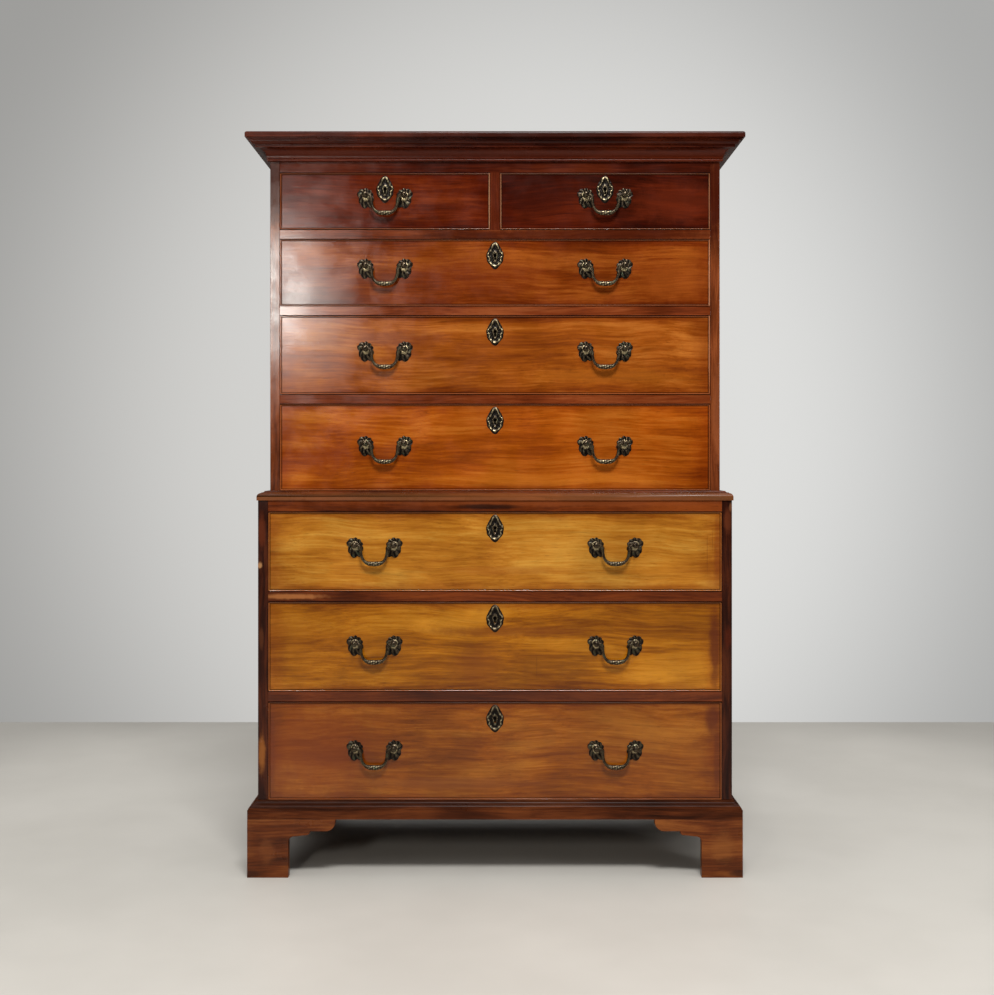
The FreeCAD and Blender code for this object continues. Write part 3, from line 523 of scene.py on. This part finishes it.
def beyond_mitre(name):
    """Says of a point whether it is in a side length of a mitred moulding or foot, not the front one."""
    low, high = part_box(name)

    def pick(point):
        return int(high.x - abs(point.x) < point.y - low.y)

    return pick


def dress_fronts():
    for drawer in DRAWERS:
        name = drawer + "_front"
        low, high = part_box(name)
        marks = list(FRONT_MARKS.get(drawer, ()))
        # Grime with painted shade round each post, and painted shade in the keyhole.
        for bail in bails_of(drawer):
            pivot = swing(bail)
            for side in (-1, 1):
                x = pivot.x + side * POST_HALF_SPACING * MM
                marks.append(((x, pivot.z - POST_GRIME_AND_SHADE_DROP), *POST_GRIME_AND_SHADE))
        key = key_place(drawer)
        marks.append(((key.x, key.z), *KEYHOLE_SHADE))
        edges = (low.x, high.x, low.z, high.z)
        dress(name, [wood(name + "_wood", FRONT_TONES[drawer], "X", edges, marks=marks)])
        eased(name, EASED_FINE)


def dress_cases():
    def both_ways(name, tones, **looks):
        return [wood(name + "_wood", tones, "X", **looks), wood(name + "_return_wood", tones, "Y", **looks)]

    def rail_part(point):
        """Which of the upper rails' woods a face takes: the frieze, darkened with painted shade, and the
        short divider have their own.
        """
        if point.z > short_front[1].z:
            return 2
        return int(abs(point.x) < short_front[0].x and point.z > short_front[0].z)

    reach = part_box("upper_sides")[0].y + SIDE_MARKS_REACH
    dress("upper_sides", [wood("upper_side_wood", UPPER_SIDE_TONES, "Z", marks=UPPER_SIDE_MARKS,
                               reach=reach)])
    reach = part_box("lower_sides")[0].y + SIDE_MARKS_REACH
    dress("lower_sides", [wood("lower_side_wood", LOWER_SIDE_TONES, "Z", gloss=0.22, marks=LOWER_SIDE_MARKS,
                               shine=0.16, reach=reach)])
    dress("lower_rails", [wood("lower_rail_wood", LOWER_RAIL_TONES, "X", marks=RAIL_MARKS)])
    short_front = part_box("top_right_drawer_front")
    dress("upper_rails", [wood("upper_rail_wood", UPPER_RAIL_TONES, "X", marks=UPPER_RAIL_MARKS),
                          wood("divider_wood", DIVIDER_TONES, "Z"),
                          wood("frieze_shaded_wood", FRIEZE_SHADED_TONES, "X")], rail_part)

    cornice = both_ways("cornice", CORNICE_TONES, marks=CORNICE_MARKS, shine=0.15, gloss=0.24)
    waist = both_ways("waist", LOWER_RAIL_TONES, marks=WAIST_MARKS, shine=0.2, gloss=0.28)
    base = both_ways("base", BASE_TONES, marks=BASE_MARKS, shine=0.08, gloss=0.3)
    feet = both_ways("feet", FEET_TONES, marks=FEET_MARKS, shine=0.15, gloss=0.3)
    for name, woods in (("cornice", cornice), ("waist_moulding", waist), ("base_moulding", base),
                        ("front_bracket_feet", feet)):
        dress(name, woods, beyond_mitre(name))
    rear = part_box("rear_bracket_feet")[1].y - REAR_BRACES
    dress("rear_bracket_feet", feet[::-1], lambda point: int(point.y > rear))
    # The rear feet keep their sharp edges, because bevels overshoot on them.
    for name in ("upper_sides", "lower_sides", "lower_rails", "upper_rails", "cornice", "waist_moulding",
                 "base_moulding", "front_bracket_feet"):
        eased(name)


def dress_linings():
    across = bare_wood("lining_across", LINING_TONES, "X")
    deep = bare_wood("lining_deep", LINING_TONES, "Y")
    upright = bare_wood("back_planks", BACK_TONES, "Z")
    grimy = bare_wood("underside", UNDERSIDE_TONES, "X")
    for name in ("lower_boards", "upper_boards", "foot_blocks"):
        dress(name, [across, grimy], lambda point: int(point.z < LOWEST_DRAWER))
        eased(name)
    for name in ("lower_back", "upper_back"):
        dress(name, [upright])
        eased(name)
    for drawer in DRAWERS:
        name = drawer + "_box"
        low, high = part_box(name)
        dress(name, [across, deep],
              lambda point: int(point.x < low.x + DRAWER_SIDES or point.x > high.x - DRAWER_SIDES))
        eased(name, EASED_FINE, whole=False)


# ---------------------------------------------------------------- brassware
def catmull_rom(a, b, c, d, t):
    """The curve from b at t = 0 to c at t = 1, with a before it and d after it."""
    return b + 0.5 * t * (c - a + t * (2 * a - 5 * b + 4 * c - d + t * (3 * (b - c) + d - a)))


def spline_value(values, turn):
    """A smooth closed curve through values spaced evenly round a circle, read at turn from 0 to 1."""
    n = len(values)
    place = turn % 1.0 * n
    i, t = int(place), place % 1.0
    return catmull_rom(*(values[(i + k) % n] for k in (-1, 0, 1, 2)), t)


def smooth_points(points, steps):
    """A smooth open curve through points, in steps points from each to the next."""
    ends = [points[0]] + list(points) + [points[-1]]
    made = []
    for four in zip(ends, ends[1:], ends[2:], ends[3:]):
        for k in range(steps):
            made.append([catmull_rom(*numbers, k / steps) for numbers in zip(*four)])
    return made + [list(points[-1])]


def join_rings(bm, rings, closed=False):
    """Faces between rings of vertices. If closed, the last ring joins the first; if not, both get a cap."""
    pairs = list(zip(rings, rings[1:])) + ([(rings[-1], rings[0])] if closed else [])
    for ring, after in pairs:
        for k in range(len(ring)):
            bm.faces.new((ring[k - 1], ring[k], after[k], after[k - 1]))
    if not closed:
        for ring in (rings[0], rings[-1]):
            bm.faces.new(ring)


def new_casting():
    """An empty bmesh whose vertices keep their relief, which the patina reads."""
    bm = bmesh.new()
    bm.verts.layers.float.new("relief")
    return bm


def relief(bm, centre, inner, outer, height):
    """A cast plate on the drawer front, from the outline inner(turn) to outer(turn), in millimetres.

    Its height above HOLLOW, up to CREST, is kept with each vertex for the patina.
    """
    worn = bm.verts.layers.float["relief"]
    spokes, rings = 90, 12

    def ring(share, out):
        points = []
        for k in range(spokes):
            turn = k / spokes
            radius = inner(turn) + (outer(turn) - inner(turn)) * share
            angle = 2 * math.pi * turn
            offset = Vector((radius * math.sin(angle), -out(turn), radius * math.cos(angle)))
            vertex = bm.verts.new(centre + offset * MM)
            vertex[worn] = (out(turn) - HOLLOW) / (CREST - HOLLOW)
            points.append(vertex)
        return points

    made = [ring(0.0, lambda turn: 0.0)]
    for j in range(rings + 1):
        share = j / rings
        made.append(ring(share, lambda turn: height(share, turn)))
    made.append(ring(1.0, lambda turn: 0.0))
    join_rings(bm, made, closed=True)


def lathe(bm, centre, profile, direction=-1.0, sides=24, turned=0.0):
    """A turned piece on an axis along Y, with a profile of (radius, distance from centre).

    direction is 1 towards the back and -1 towards the front, and turned is how far its corners are turned
    round the axis, in sides.
    """
    before = set(bm.faces)
    worn = bm.verts.layers.float["relief"]
    rings = []
    for radius, out in profile:
        radius = max(radius, SMALLEST_RADIUS)
        ring = []
        for k in range(sides):
            angle = 2 * math.pi * (k + turned) / sides
            offset = Vector((radius * math.cos(angle), direction * out, radius * math.sin(angle)))
            vertex = bm.verts.new(centre + offset * MM)
            vertex[worn] = TURNED_RELIEF
            ring.append(vertex)
        rings.append(ring)
    join_rings(bm, rings)
    for face in set(bm.faces) - before:
        face.material_index = 1


def keyhole_radius(turn):
    """Distance from the escutcheon's middle to the edge of the keyhole, in the direction turn."""
    angle = 2 * math.pi * turn
    u, v = math.sin(angle), math.cos(angle)
    middle = KEYHOLE_LENGTH / 4
    radius = 0.0
    for step in range(1, 400):
        x, z = u * step * KEYHOLE_STEP, v * step * KEYHOLE_STEP - middle
        in_eye = math.hypot(x, z) < KEYHOLE_EYE
        in_slot = abs(x) < KEYHOLE_SLOT_HALF and -KEYHOLE_LENGTH < z < 0
        if in_eye or in_slot:
            radius = step * KEYHOLE_STEP
    return radius


def escutcheon_radius(turn):
    """The escutcheon's outline: the same on both sides, with small lobes between its top and bottom."""
    half = ESCUTCHEON_RADII + ESCUTCHEON_RADII[-2:0:-1]
    lobes = 1 + 0.055 * abs(math.sin(7 * math.pi * turn)) * math.sin(math.pi * turn * 2) ** 2
    return spline_value(half, turn) * lobes


def escutcheon_height(share, turn):
    """How far it stands out, at a share of the way from keyhole to outline: a rim, scrolls and leaves."""
    rim = 2.0 * math.exp(-((share - 0.12) / 0.12) ** 2)
    scroll = 2.4 * math.exp(-((share - 0.74 - 0.1 * math.cos(10 * math.pi * turn)) / 0.13) ** 2)
    leaf = 0.6 * math.cos(26 * math.pi * turn + 4 * share) * share
    return max(HOLLOW, 0.6 + rim + scroll + leaf - 0.5 * share ** 8)


def plate_outline(inward):
    """The leafy edge of a backplate; inward is 1 if the middle of its bail is towards +X, and -1 for -X."""
    def radius(turn):
        place = 0.25 - inward * turn
        wave = 9 * math.pi * place + 0.6 + 0.7 * math.sin(2 * math.pi * place)
        leaves = 0.87 + 0.19 * abs(math.sin(wave)) ** 0.7
        return spline_value(PLATE_RADII, place) * leaves

    return radius


def plate_height(share, turn):
    """How far a backplate stands out, at a share of the way from its post: a boss with leaves round it."""
    boss = 3.0 * max(0.0, 1 - (share / 0.5) ** 4)
    petal = abs(math.sin(9 * math.pi * turn + 3.0 * share + math.sin(4 * math.pi * turn))) ** 0.8
    leaves = (2.4 * petal - 0.5) * max(0.0, min(1.0, (share - 0.42) / 0.12)) * (1.25 - 0.5 * share)
    return max(HOLLOW, 0.5 + boss + leaves - 0.6 * share ** 8)


def finish_piece(bm, name, materials, body, replaced):
    """Turns a bmesh into a shaded piece that rides on a body and stands for CAD nodes."""
    bmesh.ops.recalc_face_normals(bm, faces=bm.faces)
    mesh = bpy.data.meshes.new(name)
    bm.to_mesh(mesh)
    bm.free()
    for material in materials:
        mesh.materials.append(material)
    mesh.shade_smooth()
    mesh.set_sharp_from_angle(angle=math.radians(50))
    piece = bpy.data.objects.new(name, mesh)
    bpy.context.scene.collection.objects.link(piece)
    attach(piece, body)
    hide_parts(*replaced)


def swing(bail):
    """Where a bail turns, in the row frame."""
    return Vector(joints[bail + "_swing"]["pos_m"])


def bails_of(drawer):
    if drawer in SHORT_DRAWERS:
        return [drawer + "_bail"]
    return [drawer + "_left_bail", drawer + "_right_bail"]


def add_box(bm, low, high, bevel):
    corners = [Vector((x, y, z)) for x in (low.x, high.x) for y in (low.y, high.y) for z in (low.z, high.z)]
    verts = [bm.verts.new(c) for c in corners]
    faces = [(0, 1, 3, 2), (4, 6, 7, 5), (0, 4, 5, 1), (2, 3, 7, 6), (0, 2, 6, 4), (1, 5, 7, 3)]
    made = [bm.faces.new([verts[i] for i in face]) for face in faces]
    edges = {edge for face in made for edge in face.edges}
    bmesh.ops.bevel(bm, geom=list(edges), offset=bevel, segments=2, affect="EDGES")


def key_place(drawer):
    """The middle of a drawer's escutcheon, on the face of its front."""
    bolt_low, bolt_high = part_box(drawer + "_lock_bolt")
    face_y = swing(bails_of(drawer)[0]).y + PIVOT_OUT * MM
    return Vector(((bolt_low.x + bolt_high.x) / 2, face_y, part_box(drawer + "_front")[1].z - KEY_DROP * MM))


def fittings(drawer, brass):
    """Escutcheon, backplates, posts with their nuts, and the lock case of one drawer."""
    bm = new_casting()
    key = key_place(drawer)
    middle = key + Vector((0, 0, -KEYHOLE_LENGTH / 4 * MM))
    relief(bm, middle, keyhole_radius, escutcheon_radius, escutcheon_height)
    for pivot in map(swing, bails_of(drawer)):
        for side in (-1, 1):
            at = Vector((pivot.x + side * POST_HALF_SPACING * MM, key.y, pivot.z))
            relief(bm, at, lambda turn: POST_HOLE, plate_outline(-side), plate_height)
            lathe(bm, at, POST_PROFILE)
            back = at + Vector((0, FRONT_BOARD * MM, 0))
            lathe(bm, back, NUT_PROFILE, 1.0, 4, 0.5)
            lathe(bm, back, BOLT_END_PROFILE, 1.0, 16)
    lock = Vector((key.x, key.y + FRONT_BOARD * MM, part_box(drawer + "_front")[1].z))
    low, high = LOCK_CASE
    add_box(bm, lock + low, lock + high, LOCK_EASING)
    for x, z in RIVETS:
        lathe(bm, lock + Vector((x, 0, z)), RIVET_PROFILE, 1.0, 16)
    finish_piece(bm, drawer + "_brassware", brass, drawer, [drawer + "_fittings"])


def bail(name, brass):
    """A swan-neck bail with a leaf moulding in the middle of its bar."""
    pivot = swing(name)
    half = smooth_points(BAIL_LINE, 6)
    line = [tuple(p) for p in half] + [(-x, z, r) for x, z, r in reversed(half[:-1])]
    sides = 20
    bm = new_casting()
    worn = bm.verts.layers.float["relief"]
    rings = []
    for i, (x, z, radius) in enumerate(line):
        before, after = line[max(i - 1, 0)], line[min(i + 1, len(line) - 1)]
        along = Vector((after[0] - before[0], 0, after[1] - before[1])).normalized()
        across = Vector((-along.z, 0, along.x))
        leaf = max(0.0, 1 - (abs(x) / LEAF_HALF) ** 4) if z < BAR_HEIGHT else 0.0
        ring = []
        for k in range(sides):
            angle = 2 * math.pi * k / sides
            carved = 1 + leaf * (0.04 * math.cos(5 * angle + x * 0.45) + 0.03 * math.cos(x * 1.1))
            offset = (across * math.cos(angle) + Vector((0, 1, 0)) * math.sin(angle)) * radius * carved
            vertex = bm.verts.new(pivot + (Vector((x, 0, z)) + offset) * MM)
            vertex[worn] = 0.55 + (carved - 1) * 6 + 0.2 * math.sin(angle + math.pi / 2) * (1 - leaf)
            ring.append(vertex)
        rings.append(ring)
    join_rings(bm, rings)
    finish_piece(bm, name + "_cast", brass[:1], name, [name])


def make_brassware():
    """All the brass and the lock bolts. Brass is for the castings, then for what is turned, filed or cut."""
    # The upper drawers get a brighter copy of the brass with more bare metal showing, a painted highlight.
    # The lower drawers get a duller, darker copy, painted shade.
    lit_upper_brass = [patinated_brass("brass_patina", 0.85, 0.28), patinated_brass("brass_rubbed", 0.5, 0.16)]
    shaded_lower_brass = [patinated_brass("brass_dull_patina", 0.6, 0.3), patinated_brass("brass_dull", 0.3, 0.2)]
    steel = old_steel("old_steel")
    for drawer in DRAWERS:
        brass = shaded_lower_brass if drawer.startswith("lower") else lit_upper_brass
        fittings(drawer, brass)
        for name in bails_of(drawer):
            bail(name, brass)
        bolt = drawer + "_lock_bolt"
        dress(bolt, [steel])
        eased(bolt, EASED_FINE)


# ---------------------------------------------------------------- stage, light and camera
STAGE_HALF = 12.0           # half the width of the floor and wall
WALL_BEHIND = 1.49          # the wall stands this far behind the part's origin
WALL_TOP = 6.0
WALL_COLOURS = [(207, 206, 203), (224, 224, 222)]       # left and right: painted light, brighter on the right
WALL_COLOUR_HALF = 1.6      # they change into each other between here on the left and on the right
WALL_BRIGHTEST = 1.065      # height of the brightest place of the light painted on the wall
WALL_FLATTENING = 0.925     # heights count this much in the distance from there
WALL_PAINTED_LIGHT_FALL_OFF = (0.87, 2.27, 1.0, 0.55)     # painted light falling off: from distance, to distance, brightness there and there
FLOOR_COLOUR = (194, 190, 182)
FLOOR_PAINTED_LIGHT_FALL_OFF = (1.5, 2.2, 1.0, 0.74)      # painted light falling off on the floor, the same way, from the part's origin
WORLD_LIGHT = {"From Min": 0.4, "From Max": 0.95, "To Min": 0.015, "To Max": 1.1}   # strength by upwardness
WORLD_SEEN = 0.6            # its strength where the camera sees it
LAMPS = [                   # name, place, aimed at, width and height, watts, colour
    ("key", (0.3, -3.0, 4.2), (0, 0, 0.7), (1.4, 0.8), 183, (1, 1, 1)),
    ("window", (-1.20, -4.1, 1.83), (0, 0, 1.3), (0.42, 0.58), 34, (1, 0.96, 0.9)),
    ("side_window", (2.6, -1.6, 1.5), (0.5, -0.25, 1.3), (0.25, 0.9), 8, (1, 1, 1)),
    ("left", (-3.2, 0.6, 3.8), (0, 0, 0.8), (1.6, 1.6), 8, (1, 1, 1)),
    ("right", (3.2, 0.6, 3.8), (0, 0, 0.8), (1.6, 1.6), 8, (1, 1, 1)),
    ("behind", (0.0, 3.6, 3.8), (0, 0, 0.8), (2.4, 1.6), 17, (1, 1, 1)),
]
CAMERA = Vector((0.0046, -3.257, 0.954))
FOCAL_PIXELS = 1304.6
PICTURE_WIDTH = 994
PICTURE_HEIGHT = 995
HORIZON_ROW = 460.0         # the eye level in the picture, in pixels from its top


def stage_plane(name, corners, paint):
    mesh = bpy.data.meshes.new(name)
    mesh.from_pydata(corners, [], [(0, 1, 2, 3)])
    mesh.materials.append(paint)
    return bpy.data.objects.new(name, mesh)


def make_stage():
    """A painted floor with painted light falling off from its middle, and a wall that shines with its own
    colour, with painted light brightest at one place, and can't be seen from behind.
    """
    half = STAGE_HALF
    g = Graph("floor_paint")
    place = g.node("TexCoord").outputs["Object"]
    cloud = g.spread(g.noise(place, 1.4, 4, 0.6), 0.3, 0.7)
    colour = g.ramp(cloud, [srgb([c - 5 for c in FLOOR_COLOUR]), srgb([c + 4 for c in FLOOR_COLOUR])], (0, 1))
    # Painted light, falling off away from the middle.
    from_middle = g.node("VectorMath", {0: place}, operation="LENGTH").outputs["Value"]
    colour = g.mix(1.0, colour, g.grey(g.spread(from_middle, *FLOOR_PAINTED_LIGHT_FALL_OFF)), "MULTIPLY")
    paint = g.finish({"Base Color": colour, "Roughness": 0.42, "Specular IOR Level": 0.3})
    corners = [(-half, -half, 0), (half, -half, 0), (half, half, 0), (-half, half, 0)]
    floor = stage_plane("floor", corners, paint)

    g = Graph("wall_paint")
    axes = g.node("SeparateXYZ", {0: g.node("TexCoord").outputs["Object"]}).outputs
    # Painted light: a little brighter to the right, and brightest round one place, falling off from there.
    across = g.spread(axes[0], -WALL_COLOUR_HALF, WALL_COLOUR_HALF)
    colour = g.ramp(across, [srgb(c) for c in WALL_COLOURS], (0, 1))
    height = g.math("MULTIPLY", g.math("SUBTRACT", axes[2], WALL_BRIGHTEST), WALL_FLATTENING)
    away = g.math("ADD", g.math("MULTIPLY", axes[0], axes[0]), g.math("MULTIPLY", height, height))
    colour = g.mix(1.0, colour, g.grey(g.spread(g.math("SQRT", away), *WALL_PAINTED_LIGHT_FALL_OFF)), "MULTIPLY")
    seen = g.node("Emission", {"Color": colour, "Strength": 1.0})
    gone = g.node("BsdfTransparent")
    behind = g.node("NewGeometry").outputs["Backfacing"]
    both = g.node("MixShader", {0: behind, 1: seen.outputs[0], 2: gone.outputs[0]})
    g.node("OutputMaterial", {"Surface": both.outputs[0]})
    y, top = WALL_BEHIND, WALL_TOP
    wall = stage_plane("wall", [(-half, y, 0), (half, y, 0), (half, y, top), (-half, y, top)], g.material)
    for way in ("diffuse", "glossy", "transmission", "shadow", "volume_scatter"):
        setattr(wall, "visible_" + way, False)
    for thing in (floor, wall):
        bpy.context.scene.collection.objects.link(thing)


def area_light(name, place, target, size, power, colour):
    light = bpy.data.lights.new(name, "AREA")
    light.shape, light.size, light.size_y = "RECTANGLE", size[0], size[1]
    light.energy, light.color = power, colour
    lamp = bpy.data.objects.new(name, light)
    lamp.location = place
    lamp.rotation_euler = (Vector(target) - Vector(place)).to_track_quat("-Z", "Y").to_euler()
    bpy.context.scene.collection.objects.link(lamp)


def make_light():
    """A world that is brighter above, with another strength where the camera sees it, and the lamps."""
    world = bpy.data.worlds.new("studio")
    bpy.context.scene.world = world
    world.use_nodes = True
    tree = world.node_tree
    way = tree.nodes.new("ShaderNodeTexCoord")
    axes = tree.nodes.new("ShaderNodeSeparateXYZ")
    rise = tree.nodes.new("ShaderNodeMapRange")
    rise.interpolation_type = "SMOOTHSTEP"
    for name, value in WORLD_LIGHT.items():
        rise.inputs[name].default_value = value
    seen = tree.nodes.new("ShaderNodeLightPath")
    shown = tree.nodes.new("ShaderNodeMix")
    shown.inputs[3].default_value = WORLD_SEEN
    back = tree.nodes["Background"]
    back.inputs["Color"].default_value = (1, 1, 1, 1)
    tree.links.new(way.outputs["Generated"], axes.inputs[0])
    tree.links.new(axes.outputs[2], rise.inputs["Value"])
    tree.links.new(seen.outputs["Is Camera Ray"], shown.inputs[0])
    tree.links.new(rise.outputs[0], shown.inputs[2])
    tree.links.new(shown.outputs[0], back.inputs["Strength"])
    for lamp in LAMPS:
        area_light(*lamp)


def make_camera():
    data = bpy.data.cameras.new("camera")
    data.sensor_fit = "HORIZONTAL"
    data.sensor_width = 36.0
    data.lens = FOCAL_PIXELS / PICTURE_WIDTH * data.sensor_width
    data.shift_y = -(PICTURE_HEIGHT / 2 - HORIZON_ROW) / PICTURE_WIDTH
    camera = bpy.data.objects.new("camera", data)
    camera.location = CAMERA
    camera.rotation_euler = (math.radians(90), 0, 0)
    bpy.context.scene.collection.objects.link(camera)
    bpy.context.scene.camera = camera


dress_fronts()
dress_cases()
dress_linings()
make_brassware()
make_stage()
make_light()
make_camera()
bpy.context.scene.view_settings.view_transform = "Standard"
